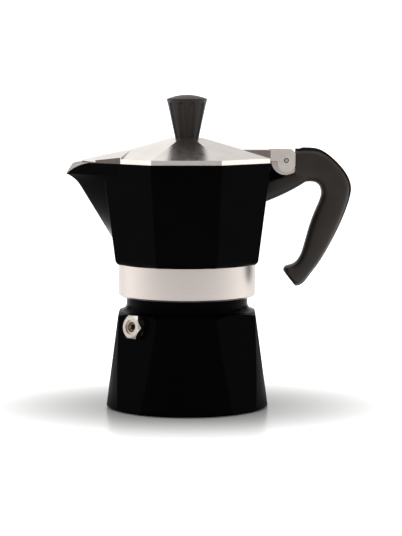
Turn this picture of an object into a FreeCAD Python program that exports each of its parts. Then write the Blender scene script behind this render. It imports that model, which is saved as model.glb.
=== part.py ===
import FreeCAD, Part
import math
import os

# Stove-top moka pot in millimetres. The origin is the centre of the base on the pot's axis.
# +Z is up, the spout points to -X, the handle to +X, and the safety valve looks to -X and -Y.

# Boiler: eight facets on a round base, a cove up to a threaded neck
BASE_HALF_FLAT = 41.4
BASE_PROUD = 0.6
BASE_EDGE_ROUND = 2.0
SHOULDER_Z = 49.7
SHOULDER_HALF_FLAT = 34.7
SHOULDER_LAND = 0.2
SHOULDER_DROP = 1.4
FACET_ROUND = 1.2
COVE_RADIUS = 3.9
NECK_RADIUS = 31.0
NECK_TOP_Z = 67.5
NECK_WALL = 4.2
NECK_BORE_RADIUS = NECK_RADIUS - NECK_WALL
BOILER_WALL = 3.2
BOILER_FLOOR = 3.5
THROAT_HEIGHT = 7.0

# Screw thread between the neck and the collar
THREAD_PITCH = 3.0
THREAD_DEPTH = 1.1
THREAD_CREST = 0.7
THREAD_ROOT = 1.3
THREAD_TURNS = 2.0
THREAD_CLEARANCE = 0.3
THREAD_LEAD_IN = 1.6
THREAD_BITE = 0.4

# Safety valve, square to the front left facet of the boiler
VALVE_Z = 43.6
VALVE_SHANK_RADIUS = 4.4
VALVE_SHANK_LENGTH = 7.0
VALVE_BOSS_RADIUS = 8.0
VALVE_BOSS_DEPTH = 6.5
VALVE_WASHER_RADIUS = 5.9
VALVE_WASHER_THICKNESS = 0.8
VALVE_HEX_FLATS = 11.5
VALVE_HEX_HEIGHT = 3.6
VALVE_HEX_BEVEL = 0.35
VALVE_HEX_TURN = 75.0
VALVE_MOUTH_RADIUS = 3.7
VALVE_MOUTH_DEPTH = 0.8
VALVE_BORE_RADIUS = 2.7
VALVE_SEAT_RADIUS = 1.4
VALVE_SEAT_THICKNESS = 1.2
VALVE_BUSH_DEPTH = 0.5
VALVE_BUSH_LENGTH = 1.5
VALVE_PIN_RADIUS = 1.2
VALVE_PIN_PROUD = 0.5
VALVE_HEAD_RADIUS = 2.3
VALVE_HEAD_THICKNESS = 0.8
VALVE_SEAL_THICKNESS = 1.0
VALVE_THREAD_CLEARANCE = 0.05
VALVE_RUNNING_CLEARANCE = 0.06
SPRING_WIRE_RADIUS = 0.22
SPRING_TURNS = 5
SPRING_END_GAP = 0.1

# Coffee basket hanging in the neck
SHEET = 0.8
BASKET_RIM_INSET = 1.4
BASKET_RIM_RADIUS = NECK_RADIUS - BASKET_RIM_INSET
BASKET_CLEARANCE = 0.9
BASKET_RADIUS = NECK_BORE_RADIUS - BASKET_CLEARANCE
BASKET_DEPTH = 27.0
BASKET_CONE_HEIGHT = 4.0
SIEVE_CLEARANCE = 0.5
SIEVE_RADIUS = BASKET_RADIUS - SHEET - SIEVE_CLEARANCE
SIEVE_HOLE_RADIUS = 0.8
SIEVE_HOLE_SPACING = 4.0
FIRST_RING_COUNT = 6
BASKET_TUBE_RADIUS = 5.0
BASKET_TUBE_WALL = 0.8
TUBE_FOOT_Z = 8.0
TUBE_LAP = 3.0
TUBE_CLEARANCE = 0.05

# Seal between the two halves
GASKET_INSET = 0.4
GASKET_OUTER_RADIUS = NECK_RADIUS - GASKET_INSET
GASKET_THICKNESS = 3.0
FILTER_OVERLAP = 0.4
FILTER_RADIUS = NECK_BORE_RADIUS + FILTER_OVERLAP
GASKET_LAP = 2.7
GASKET_INNER_RADIUS = FILTER_RADIUS - GASKET_LAP
FILTER_THICKNESS = 0.8
FILTER_HOLE_RADIUS = 0.7
FILTER_HOLE_SPACING = 3.4

# Collector: flaring octagon over a turned collar band
COLLAR_DEPTH = 14.0
BAND_HEIGHT = 16.5
BAND_WALL = 4.2
BAND_RADIUS = NECK_RADIUS + BAND_WALL
BAND_BEVEL = 0.8
COLLECTOR_HEIGHT = 51.7
RIM_HALF_FLAT = 42.4
FOOT_OVERHANG = 0.7
FOOT_HALF_FLAT = BAND_RADIUS + FOOT_OVERHANG
FOOT_ROUND = 3.0
COLLECTOR_WALL = 2.6
FLOOR_Z_ABOVE_SEAT = 6.0
FILTER_CLEARANCE = 0.6
FILTER_CHAMBER_RADIUS = FILTER_RADIUS + FILTER_CLEARANCE
FILTER_CHAMBER_HEIGHT = 2.8

# Spout: a keel that runs up the left facet and hooks out to a drip tip
SPOUT_APEX_BELOW_RIM = 40.3
SPOUT_FOLD_IN = 9.4
SPOUT_FOLD_SINK = 0.05
SPOUT_KNEE_OUT = 12.0
SPOUT_KNEE_BELOW_RIM = 12.2
SPOUT_HOOK_RADIUS = 15.0
SPOUT_TIP_ANGLE = 22.0
SPOUT_HOOK_STEPS = 8
SPOUT_NOSE_HALF_WIDTH = 1.0
SPOUT_NOSE_SETBACK = 0.35
SPOUT_WALL_ALONG_X = 3.6
LIP_SLOPE = 1.22
LIP_SIDE_FALL = 0.8
LIP_LENGTH = 13.3
LIP_CROWN = 1.3
LIP_ABOVE_TIP = 0.4

# Riser column
COLUMN_FOOT_RADIUS = 7.5
COLUMN_TOP_RADIUS = 5.2
COLUMN_HEIGHT = 38.0
COLUMN_BORE_RADIUS = 3.4
COLUMN_CAP = 2.0
COLUMN_WINDOW_HEIGHT = 5.0
COLUMN_WINDOW_WIDTH = 5.0

# Hinge
HINGE_OUT = 8.0
HINGE_UP = 1.0
HINGE_PIN_RADIUS = 1.25
HINGE_CLEARANCE = 0.05
HINGE_PIN_PROUD = 0.2
BARREL_RADIUS = 4.3
LUG_HALF_WIDTH = 5.0
LUG_CLEARANCE = 0.3
TONGUE_HALF_WIDTH = 2.8
EAR_GAP = 0.3
EAR_THICKNESS = 2.7
EAR_HALF_LENGTH = 4.55
EAR_DROP = 1.45
EAR_CORNER = 2.2
BOSS_HALF_WIDTH = 7.0
BOSS_RUN = 13.6
BOSS_TOP_ABOVE_PIN = 5.3
BOSS_TO_BARREL = 0.9

# Lid
LID_GAP = 0.1
LID_INSET = 0.5
LID_EDGE_HEIGHT = 2.3
LID_RISE = 9.9
LID_TOP_HALF_FLAT = 7.5
LID_WALL = 2.2
LID_TOP_WALL = 2.6
BEAK_ROOT_IN = 9.2
BEAK_ROOT_STEP = 0.9
BEAK_CREASE_IN = 13.5
BEAK_RIDGE_FALL = 0.193
BEAK_CORNER_OUT = 4.1
BEAK_CORNER_Y = 14.4
BEAK_CORNER_BELOW_EDGE = 1.0
BEAK_TIP_OUT = 11.5
BEAK_TIP_Y = 2.5
NOSE_FALL = 0.23
NOSE_CORNER_ABOVE_LID = 0.3
BEAK_WALL = 1.8

# Knob and what holds it
KNOB_FOOT_RADIUS = 6.2
KNOB_RADIUS = 10.3
KNOB_HEIGHT = 21.8
KNOB_RIM_HEIGHT = 1.6
KNOB_EDGE_ROUND = 0.5
KNOB_CROWN = 1.9
KNOB_FLUTES = 10
FLUTE_RADIUS = 2.2
FLUTE_DEPTH = 0.85
INSERT_RADIUS = 2.9
INSERT_LENGTH = 11.0
SCREW_RADIUS = 2.0
SCREW_CLEARANCE = 0.1
SCREW_HEAD_RADIUS = 3.6
SCREW_HEAD_HEIGHT = 2.2
SCREW_SLOT_WIDTH = 1.0
SCREW_SLOT_DEPTH = 1.0
SCREW_END_GAP = 1.0
WASHER_RADIUS = 4.6
WASHER_THICKNESS = 0.8

# Handle. Its sections are a point inside the loop, a point outside it and half the width, from the hinge pin.
HANDLE_NECK_HALF_WIDTH = 5.0
HANDLE_SECTIONS = (
    ((4.8, -8.0), (4.8, 5.9), HANDLE_NECK_HALF_WIDTH),
    ((10.7, -11.2), (11.0, 6.4), 5.3),
    ((14.5, -11.3), (17.3, 5.4), 6.0),
    ((16.8, -12.8), (23.4, 1.4), 6.6),
    ((18.0, -15.8), (29.6, -5.2), 7.0),
    ((17.9, -18.6), (33.1, -13.0), 7.0),
    ((16.2, -23.2), (31.9, -21.4), 7.0),
    ((12.5, -32.6), (27.9, -32.0), 7.0),
    ((8.9, -45.0), (21.6, -44.7), 6.8),
    ((6.2, -51.0), (16.0, -53.8), 6.6),
    ((3.4, -53.3), (11.8, -59.3), 6.6),
    ((-0.6, -54.9), (6.7, -64.1), 6.9),
    ((-1.1, -56.6), (4.9, -64.3), 5.8),
)
HANDLE_STATIONS_PER_SPAN = 2
HANDLE_SECTION_POINTS = 8
HANDLE_SQUARENESS = 0.75
HANDLE_CLEARANCE = 0.15
HANDLE_PIN_RADIUS = 1.5
HANDLE_PIN_INSET = 0.8
HANDLE_PIN_BACK = 5.0
HANDLE_PIN_BELOW_STRUT_TOP = 3.2
STRUT_HALF_WIDTH = 4.4
STRUT_SLOPE = 0.29
STRUT_TOP_BELOW_PIN = 7.0
STRUT_DEPTH = 10.0
STRUT_FOOT_DEPTH = 12.0
STRUT_SINK = 2.0
STRUT_END_DEPTH = 6.5
STRUT_REACH = 12.0
TONGUE_INSET = 2.0
TONGUE_REACH = 9.0
TONGUE_BITE = 1.4

# Heights that follow from the stack of pieces
SEAT_Z = NECK_TOP_Z + SHEET + GASKET_THICKNESS
BAND_BOTTOM_Z = SEAT_Z - COLLAR_DEPTH
COLLECTOR_FOOT_Z = BAND_BOTTOM_Z + BAND_HEIGHT
RIM_Z = COLLECTOR_FOOT_Z + COLLECTOR_HEIGHT
FLOOR_Z = SEAT_Z + FLOOR_Z_ABOVE_SEAT
LID_Z = RIM_Z + LID_GAP
LID_EDGE_Z = LID_Z + LID_EDGE_HEIGHT
LID_TOP_Z = LID_EDGE_Z + LID_RISE
HINGE_X = RIM_HALF_FLAT + HINGE_OUT
BASE_RADIUS = BASE_HALF_FLAT + BASE_PROUD
LID_HALF_FLAT = RIM_HALF_FLAT - LID_INSET
BEAK_ROOT_X = LID_HALF_FLAT - BEAK_ROOT_IN
BEAK_CREASE_X = LID_HALF_FLAT - BEAK_CREASE_IN
BEAK_CORNER_X = LID_HALF_FLAT + BEAK_CORNER_OUT
BEAK_TIP_X = LID_HALF_FLAT + BEAK_TIP_OUT
SPOUT_FOLD_X = RIM_HALF_FLAT - SPOUT_FOLD_IN
SPOUT_KNEE_X = RIM_HALF_FLAT + SPOUT_KNEE_OUT
HINGE_Z = RIM_Z + HINGE_UP
EAR_INNER = LUG_HALF_WIDTH + EAR_GAP
EAR_OUTER = EAR_INNER + EAR_THICKNESS
COLLECTOR_TAPER = (RIM_HALF_FLAT - FOOT_HALF_FLAT) / COLLECTOR_HEIGHT
BOILER_TAPER = (BASE_HALF_FLAT - SHOULDER_HALF_FLAT) / SHOULDER_Z
COLLAR_BORE_RADIUS = NECK_RADIUS + THREAD_CLEARANCE
NECK_ROOT_RADIUS = NECK_RADIUS - THREAD_DEPTH
UP = FreeCAD.Vector(0, 0, 1)
ORIGIN = FreeCAD.Vector(0, 0, 0)
CORNER = math.pi / 8


def vector(x, y, z):
    return FreeCAD.Vector(x, y, z)


def octagon(half_flat, z):
    """Closed octagon with flats that face the X and Y axes."""
    radius = half_flat / math.cos(CORNER)
    turns = [CORNER + k * math.pi / 4 for k in range(8)]
    points = [vector(radius * math.cos(turn), radius * math.sin(turn), z) for turn in turns]
    return Part.makePolygon(points + points[:1])


def octagon_frustum(low_half_flat, low_z, high_half_flat, high_z):
    return Part.makeLoft([octagon(low_half_flat, low_z), octagon(high_half_flat, high_z)], True, True)


def outline(start, *steps):
    """Closed wire in the XZ plane. A step is an end point, or a pair of points for an arc through the first."""
    edges = []
    here = vector(start[0], 0, start[1])
    for step in steps + (start,):
        if isinstance(step[0], tuple):
            middle = vector(step[0][0], 0, step[0][1])
            end = vector(step[1][0], 0, step[1][1])
            edges.append(Part.Arc(here, middle, end).toShape())
        else:
            end = vector(step[0], 0, step[1])
            edges.append(Part.LineSegment(here, end).toShape())
        here = end
    return Part.Wire(edges)


def turned(start, *steps):
    """Solid of revolution about Z from an outline in radius and height."""
    return Part.Face(outline(start, *steps)).revolve(ORIGIN, UP, 360)


def plate(wire, near_y, far_y):
    """Outline in the XZ plane made thick from near_y to far_y."""
    face = Part.Face(wire)
    face.translate(vector(0, near_y, 0))
    return face.extrude(vector(0, far_y - near_y, 0))


def disc(radius, low_z, high_z):
    return Part.makeCylinder(radius, high_z - low_z, vector(0, 0, low_z))


def ring(outer_radius, inner_radius, low_z, high_z):
    return disc(outer_radius, low_z, high_z).cut(disc(inner_radius, low_z, high_z))


def cross_pin(radius, x, z, near_y, far_y):
    """Round bar parallel to Y."""
    return Part.makeCylinder(radius, far_y - near_y, vector(x, near_y, z), vector(0, 1, 0))


def fuse(first, *others):
    return first.fuse(list(others)).removeSplitter()


def facet_edges(shape):
    """Edges between neighbouring facets, which climb most of the shape's height."""
    return [edge for edge in shape.Edges if edge.BoundBox.ZLength > shape.BoundBox.ZLength / 2]


def thread_ridge(root_radius, crest_radius, low_z):
    """One right-hand ridge of trapezoid section, bitten into the wall it grows from."""
    side = math.copysign(1, crest_radius - root_radius)
    base = root_radius - side * THREAD_BITE
    corners = [
        vector(base, 0, -THREAD_ROOT / 2),
        vector(crest_radius, 0, -THREAD_CREST / 2),
        vector(crest_radius, 0, THREAD_CREST / 2),
        vector(base, 0, THREAD_ROOT / 2),
    ]
    profile = Part.makePolygon(corners + corners[:1])
    helix = Part.Wire(Part.makeHelix(THREAD_PITCH, THREAD_PITCH * THREAD_TURNS, root_radius))
    ridge = helix.makePipeShell([profile], True, True)
    ridge.translate(vector(0, 0, low_z))
    return ridge


def perforated(radius, low_z, thickness, hole_radius, spacing):
    """Round plate with rings of holes."""
    rings = int((radius - 2 * spacing) / spacing)
    holes = [disc(hole_radius, low_z, low_z + thickness)]
    for number in range(1, rings + 1):
        count = FIRST_RING_COUNT * number
        for k in range(count):
            turn = 2 * math.pi * k / count
            hole = disc(hole_radius, low_z, low_z + thickness)
            hole.translate(vector(number * spacing * math.cos(turn), number * spacing * math.sin(turn), 0))
            holes.append(hole)
    return disc(radius, low_z, low_z + thickness).cut(Part.makeCompound(holes))


def boiler_half_flat(z):
    return BASE_HALF_FLAT - BOILER_TAPER * z


def collector_half_flat(z):
    return RIM_HALF_FLAT - COLLECTOR_TAPER * (RIM_Z - z)


def on_valve(shape):
    """Carries a shape built along +Z out to the valve's place, square to its facet."""
    lean = math.atan(BOILER_TAPER)
    side = math.sqrt(0.5)
    out = boiler_half_flat(VALVE_Z)
    axis = vector(-side * math.cos(lean), -side * math.cos(lean), math.sin(lean))
    place = FreeCAD.Placement(vector(-side * out, -side * out, VALVE_Z), FreeCAD.Rotation(UP, axis))
    shape.Placement = place.multiply(shape.Placement)
    return shape


def boiler_envelope():
    """Turned blank that rounds the base and slopes off the facet tops."""
    corner_radius = SHOULDER_HALF_FLAT / math.cos(CORNER)
    land_radius = SHOULDER_HALF_FLAT - SHOULDER_LAND
    round_mid = BASE_EDGE_ROUND * (1 - math.sqrt(0.5))
    return turned(
        (0, 0),
        (BASE_RADIUS - BASE_EDGE_ROUND, 0),
        ((BASE_RADIUS - round_mid, round_mid), (BASE_RADIUS, BASE_EDGE_ROUND)),
        (corner_radius, SHOULDER_Z - SHOULDER_DROP),
        (land_radius, SHOULDER_Z),
        (0, SHOULDER_Z),
    )


def boiler_neck():
    """Round neck that flows down to the facet tops in a hollow cove."""
    land_radius = SHOULDER_HALF_FLAT - SHOULDER_LAND
    cove_x = land_radius - NECK_RADIUS
    bend = math.sqrt(0.5)
    cove_mid = (NECK_RADIUS + cove_x * (1 - bend), SHOULDER_Z + COVE_RADIUS * (1 - bend))
    thread_floor = BAND_BOTTOM_Z
    return turned(
        (0, SHOULDER_Z - COVE_RADIUS),
        (NECK_RADIUS, SHOULDER_Z - COVE_RADIUS),
        (land_radius, SHOULDER_Z),
        (cove_mid, (NECK_RADIUS, SHOULDER_Z + COVE_RADIUS)),
        (NECK_RADIUS, thread_floor),
        (NECK_ROOT_RADIUS, thread_floor + THREAD_DEPTH),
        (NECK_ROOT_RADIUS, NECK_TOP_Z),
        (0, NECK_TOP_Z),
    )


def boiler_cavity():
    wide = boiler_half_flat(BOILER_FLOOR) - BOILER_WALL
    high = SHOULDER_Z - BOILER_WALL
    throat_z = high + THROAT_HEIGHT
    return turned(
        (0, BOILER_FLOOR),
        (wide - BOILER_WALL, BOILER_FLOOR),
        (wide, BOILER_FLOOR + BOILER_WALL),
        (boiler_half_flat(high) - BOILER_WALL, high),
        (NECK_BORE_RADIUS, throat_z),
        (NECK_BORE_RADIUS, NECK_TOP_Z + SHEET),
        (0, NECK_TOP_Z + SHEET),
    )


def boiler():
    facets = octagon_frustum(BASE_HALF_FLAT, 0, SHOULDER_HALF_FLAT, SHOULDER_Z)
    facets = facets.makeFillet(FACET_ROUND, facet_edges(facets))
    blank = facets.common(boiler_envelope()).fuse(boiler_neck())
    boss = on_valve(disc(VALVE_BOSS_RADIUS, -VALVE_BOSS_DEPTH, 0))
    hole = on_valve(disc(VALVE_SHANK_RADIUS + VALVE_THREAD_CLEARANCE, -VALVE_BOSS_DEPTH, VALVE_WASHER_THICKNESS))
    shell = blank.cut(boiler_cavity()).fuse(boss.common(blank)).cut(hole)
    ridge = thread_ridge(NECK_ROOT_RADIUS, NECK_RADIUS, male_thread_z())
    return fuse(shell, ridge)


def male_thread_z():
    """Height of the neck's ridge at its start."""
    return NECK_TOP_Z - THREAD_LEAD_IN - THREAD_PITCH * THREAD_TURNS


def valve_body():
    """Hexagon plug with a seat at its inner end and a stepped mouth."""
    face_z = VALVE_WASHER_THICKNESS + VALVE_HEX_HEIGHT
    corner_radius = VALVE_HEX_FLATS / 2 / math.cos(math.pi / 6)
    turns = [math.radians(VALVE_HEX_TURN) + k * math.pi / 3 for k in range(6)]
    points = [vector(corner_radius * math.cos(t), corner_radius * math.sin(t), 0) for t in turns]
    hexagon = Part.Face(Part.makePolygon(points + points[:1])).extrude(vector(0, 0, VALVE_HEX_HEIGHT))
    hexagon.translate(vector(0, 0, VALVE_WASHER_THICKNESS))
    bevel_run = corner_radius - VALVE_HEX_FLATS / 2 + VALVE_HEX_BEVEL
    bevel = turned(
        (0, VALVE_WASHER_THICKNESS),
        (corner_radius, VALVE_WASHER_THICKNESS),
        (corner_radius, face_z - bevel_run),
        (corner_radius - bevel_run, face_z),
        (0, face_z),
    )
    shank = disc(VALVE_SHANK_RADIUS, -VALVE_SHANK_LENGTH, VALVE_WASHER_THICKNESS)
    plug = fuse(hexagon.common(bevel), shank)
    seat_z = -VALVE_SHANK_LENGTH + VALVE_SEAT_THICKNESS
    mouth = disc(VALVE_MOUTH_RADIUS, face_z - VALVE_MOUTH_DEPTH, face_z)
    bore = disc(VALVE_BORE_RADIUS, seat_z, face_z)
    inlet = disc(VALVE_SEAT_RADIUS, -VALVE_SHANK_LENGTH, seat_z)
    return on_valve(plug.cut(mouth).cut(bore).cut(inlet))


def valve_washer():
    return on_valve(ring(VALVE_WASHER_RADIUS, VALVE_SHANK_RADIUS + VALVE_THREAD_CLEARANCE, 0, VALVE_WASHER_THICKNESS))


def bush_top():
    return VALVE_WASHER_THICKNESS + VALVE_HEX_HEIGHT - VALVE_MOUTH_DEPTH - VALVE_BUSH_DEPTH


def valve_bush():
    inner_radius = VALVE_PIN_RADIUS + VALVE_RUNNING_CLEARANCE
    return on_valve(ring(VALVE_BORE_RADIUS, inner_radius, bush_top() - VALVE_BUSH_LENGTH, bush_top()))


def head_base():
    """Height of the plunger's head, on top of the rubber disc."""
    return -VALVE_SHANK_LENGTH + VALVE_SEAT_THICKNESS + VALVE_SEAL_THICKNESS


def valve_stem():
    head = disc(VALVE_HEAD_RADIUS, head_base(), head_base() + VALVE_HEAD_THICKNESS)
    pin_top = VALVE_WASHER_THICKNESS + VALVE_HEX_HEIGHT + VALVE_PIN_PROUD
    pin = disc(VALVE_PIN_RADIUS, head_base(), pin_top)
    return on_valve(fuse(head, pin))


def valve_seal():
    return on_valve(disc(VALVE_HEAD_RADIUS, head_base() - VALVE_SEAL_THICKNESS, head_base()))


def valve_spring():
    """Wound wire between the plunger's head and the bush."""
    low = head_base() + VALVE_HEAD_THICKNESS + SPRING_END_GAP + SPRING_WIRE_RADIUS
    high = bush_top() - VALVE_BUSH_LENGTH - SPRING_END_GAP - SPRING_WIRE_RADIUS
    mean_radius = (VALVE_PIN_RADIUS + VALVE_BORE_RADIUS) / 2
    helix = Part.Wire(Part.makeHelix((high - low) / SPRING_TURNS, high - low, mean_radius))
    start = vector(mean_radius, 0, 0)
    profile = Part.Wire(Part.makeCircle(SPRING_WIRE_RADIUS, start, vector(0, 1, 0)))
    wound = helix.makePipeShell([profile], True, True)
    wound.translate(vector(0, 0, low))
    return on_valve(wound)


def basket_cup():
    """Drawn cup with a flat rim, a step for the sieve and a cone that takes the tube."""
    rim_z = NECK_TOP_Z
    step_z = rim_z - BASKET_DEPTH
    cone_z = step_z - BASKET_CONE_HEIGHT
    tube_hole = BASKET_TUBE_RADIUS + TUBE_CLEARANCE
    return turned(
        (BASKET_RADIUS, rim_z),
        (BASKET_RIM_RADIUS, rim_z),
        (BASKET_RIM_RADIUS, rim_z + SHEET),
        (BASKET_RADIUS - SHEET, rim_z + SHEET),
        (BASKET_RADIUS - SHEET, step_z),
        (SIEVE_RADIUS - 2 * SHEET, step_z),
        (tube_hole, cone_z),
        (tube_hole, cone_z - TUBE_LAP),
        (tube_hole + SHEET, cone_z - TUBE_LAP),
        (tube_hole + SHEET, cone_z - SHEET),
        (SIEVE_RADIUS - SHEET, step_z - SHEET),
        (BASKET_RADIUS, step_z - SHEET),
    )


def basket_sieve():
    return perforated(SIEVE_RADIUS, NECK_TOP_Z - BASKET_DEPTH, SHEET, SIEVE_HOLE_RADIUS, SIEVE_HOLE_SPACING)


def basket_tube():
    top_z = NECK_TOP_Z - BASKET_DEPTH - BASKET_CONE_HEIGHT - SHEET
    return ring(BASKET_TUBE_RADIUS, BASKET_TUBE_RADIUS - BASKET_TUBE_WALL, TUBE_FOOT_Z, top_z)


def gasket():
    return ring(GASKET_OUTER_RADIUS, GASKET_INNER_RADIUS, SEAT_Z - GASKET_THICKNESS, SEAT_Z)


def filter_plate():
    return perforated(FILTER_RADIUS, SEAT_Z, FILTER_THICKNESS, FILTER_HOLE_RADIUS, FILTER_HOLE_SPACING)


def spout_keel():
    """Points of the keel in the XZ plane: facet, knee, then an arc that hooks out to the tip, then the rim."""
    apex_z = RIM_Z - SPOUT_APEX_BELOW_RIM
    apex_x = -collector_half_flat(apex_z)
    knee_x = -SPOUT_KNEE_X
    knee_z = RIM_Z - SPOUT_KNEE_BELOW_RIM
    first = math.atan2(knee_z - apex_z, apex_x - knee_x)
    last = math.radians(SPOUT_TIP_ANGLE)
    points = [(apex_x, apex_z)]
    for k in range(SPOUT_HOOK_STEPS + 1):
        lean = first + (last - first) * k / SPOUT_HOOK_STEPS
        x = knee_x - SPOUT_HOOK_RADIUS * (math.sin(first) - math.sin(lean))
        z = knee_z + SPOUT_HOOK_RADIUS * (math.cos(lean) - math.cos(first))
        points.append((x, z))
    points.append((points[-1][0], RIM_Z))
    return points


def spout_section(keel_x, z, wall, thickness_x):
    """Pointed section of the spout at one height, closed inside the pot."""
    share = (z - RIM_Z + SPOUT_APEX_BELOW_RIM) / SPOUT_APEX_BELOW_RIM
    half_flat = collector_half_flat(z) - wall - SPOUT_FOLD_SINK
    fold_x = -half_flat + share * (half_flat - SPOUT_FOLD_X + wall)
    fold_y = half_flat * math.sqrt(2) + fold_x
    nose_x = keel_x + thickness_x
    back_x = -SPOUT_FOLD_X / 2
    back_y = fold_y / 2
    side = [
        (back_x, -back_y),
        (fold_x, -fold_y),
        (nose_x + SPOUT_NOSE_SETBACK, -SPOUT_NOSE_HALF_WIDTH),
        (nose_x, 0),
    ]
    mirrored = [(x, -y) for x, y in reversed(side[:-1])]
    points = [vector(x, y, z) for x, y in side + mirrored]
    return Part.makePolygon(points + points[:1])


def spout(wall, thickness_x):
    """Spout as a stack of pointed sections, full size or drawn in for the channel."""
    return Part.makeLoft([spout_section(x, z, wall, thickness_x) for x, z in spout_keel()], True, True)


def lip_cutter(side):
    """Slanting cut that bares the lip on one side of the tip."""
    tip_x, tip_z = spout_keel()[-2]
    low = (tip_x, tip_z + LIP_ABOVE_TIP)
    high = (tip_x + LIP_LENGTH, low[1] + LIP_SLOPE * LIP_LENGTH)
    crown = ((low[0] + high[0]) / 2, (low[1] + high[1]) / 2 + LIP_CROWN)
    clear = LIP_LENGTH
    face = Part.Face(outline(
        (low[0] - clear, low[1] - LIP_SLOPE * clear),
        low,
        (crown, high),
        (high[0], high[1] + clear),
        (low[0] - clear, high[1] + clear),
    ))
    reach = 2 * clear
    return face.extrude(vector(0, side * reach, -LIP_SIDE_FALL * reach))


def hinge_lug():
    """Web and barrel behind the rim, with a tongue that runs down into the handle."""
    wall_x = RIM_HALF_FLAT - COLLECTOR_WALL
    step_x = LID_HALF_FLAT + LUG_CLEARANCE
    step_z = HINGE_Z - EAR_GAP - LUG_CLEARANCE
    web = plate(outline(
        (wall_x, RIM_Z - HINGE_UP),
        (step_x, RIM_Z - HINGE_UP),
        (step_x, step_z),
        (HINGE_X - BARREL_RADIUS, step_z),
        (HINGE_X, HINGE_Z),
        (HINGE_X + BARREL_RADIUS, HINGE_Z),
        (HINGE_X + BARREL_RADIUS, strut_top(HINGE_X + BARREL_RADIUS) + HANDLE_CLEARANCE),
        (wall_x, strut_top(wall_x) + HANDLE_CLEARANCE),
    ), -LUG_HALF_WIDTH, LUG_HALF_WIDTH)
    barrel = cross_pin(BARREL_RADIUS, HINGE_X, HINGE_Z, -LUG_HALF_WIDTH, LUG_HALF_WIDTH)
    tongue = plate(tongue_outline(), -TONGUE_HALF_WIDTH, TONGUE_HALF_WIDTH)
    return fuse(web, barrel, tongue)


def strut_top(x):
    """Upper edge of the handle's strut."""
    return HINGE_Z - STRUT_TOP_BELOW_PIN + STRUT_SLOPE * (x - HINGE_X)


def tongue_outline():
    near_x = RIM_HALF_FLAT - COLLECTOR_WALL - COLLECTOR_TAPER * STRUT_DEPTH
    far_x = HINGE_X + TONGUE_REACH
    web_x = HINGE_X + BARREL_RADIUS
    return outline(
        (near_x, strut_top(near_x) + TONGUE_BITE),
        (web_x, strut_top(web_x) + TONGUE_BITE),
        (far_x, strut_top(far_x)),
        (far_x, strut_top(far_x) - TONGUE_INSET),
        (near_x, strut_top(near_x) - STRUT_DEPTH + TONGUE_INSET),
    )


def collector():
    facets = octagon_frustum(FOOT_HALF_FLAT, COLLECTOR_FOOT_Z, RIM_HALF_FLAT, RIM_Z)
    foot = [edge for edge in facets.Edges if edge.BoundBox.ZMax < COLLECTOR_FOOT_Z + FOOT_ROUND]
    facets = facets.makeFillet(FOOT_ROUND, foot)
    facets = facets.makeFillet(FACET_ROUND, facet_edges(facets))
    band = turned(
        (0, BAND_BOTTOM_Z),
        (BAND_RADIUS - BAND_BEVEL, BAND_BOTTOM_Z),
        (BAND_RADIUS, BAND_BOTTOM_Z + BAND_BEVEL),
        (BAND_RADIUS, COLLECTOR_FOOT_Z + FOOT_ROUND),
        (0, COLLECTOR_FOOT_Z + FOOT_ROUND),
    )
    beak = spout(0, 0).cut(lip_cutter(-1)).cut(lip_cutter(1))
    blank = fuse(facets, band, beak, hinge_lug())
    chamber = octagon_frustum(
        collector_half_flat(FLOOR_Z) - COLLECTOR_WALL, FLOOR_Z, RIM_HALF_FLAT - COLLECTOR_WALL, RIM_Z)
    channel = spout(COLLECTOR_WALL, SPOUT_WALL_ALONG_X)
    collar = disc(COLLAR_BORE_RADIUS, BAND_BOTTOM_Z, SEAT_Z)
    filter_chamber = disc(FILTER_CHAMBER_RADIUS, SEAT_Z, SEAT_Z + FILTER_CHAMBER_HEIGHT)
    column_hole = disc(COLUMN_FOOT_RADIUS, SEAT_Z, FLOOR_Z)
    pin_hole = cross_pin(HINGE_PIN_RADIUS, HINGE_X, HINGE_Z, -LUG_HALF_WIDTH, LUG_HALF_WIDTH)
    shell = blank
    for tool in (chamber, channel, collar, filter_chamber, column_hole, pin_hole, handle_pin()):
        shell = shell.cut(tool)
    ridge_z = male_thread_z() - THREAD_PITCH / 2
    ridge = thread_ridge(COLLAR_BORE_RADIUS, NECK_ROOT_RADIUS + THREAD_CLEARANCE, ridge_z)
    return fuse(shell, ridge)


def riser_column():
    """Tapered tube with a closed cap and two windows below it."""
    foot_z = SEAT_Z + FILTER_CHAMBER_HEIGHT
    top_z = foot_z + COLUMN_HEIGHT
    body = turned(
        (0, foot_z),
        (COLUMN_FOOT_RADIUS, foot_z),
        (COLUMN_FOOT_RADIUS, FLOOR_Z),
        (COLUMN_TOP_RADIUS, top_z - COLUMN_CAP),
        (COLUMN_TOP_RADIUS - COLUMN_CAP, top_z),
        (0, top_z),
    )
    bore = disc(COLUMN_BORE_RADIUS, foot_z, top_z - COLUMN_CAP)
    window = Part.makeBox(2 * COLUMN_FOOT_RADIUS, COLUMN_WINDOW_WIDTH, COLUMN_WINDOW_HEIGHT)
    window.translate(vector(-COLUMN_FOOT_RADIUS, -COLUMN_WINDOW_WIDTH / 2, top_z - COLUMN_CAP - COLUMN_WINDOW_HEIGHT))
    return body.cut(bore).cut(window)


def under_plane(a, b, c):
    """Everything below the plane through three points, as far as the lid reaches."""
    normal = (b - a).cross(c - a)
    reach = 2 * LID_HALF_FLAT
    corners = []
    for x, y in ((-reach, -reach), (reach, -reach), (reach, reach), (-reach, reach)):
        drop = (normal.x * (x - a.x) + normal.y * (y - a.y)) / normal.z
        corners.append(vector(x, y, a.z - drop))
    return Part.Face(Part.makePolygon(corners + corners[:1])).extrude(vector(0, 0, -2 * reach))


def both_sides(points):
    """A half outline and its mirror image across the XZ plane."""
    return points + [vector(p.x, -p.y, p.z) for p in reversed(points)]


def lid_slope():
    return LID_RISE / (LID_HALF_FLAT - LID_TOP_HALF_FLAT)


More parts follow.
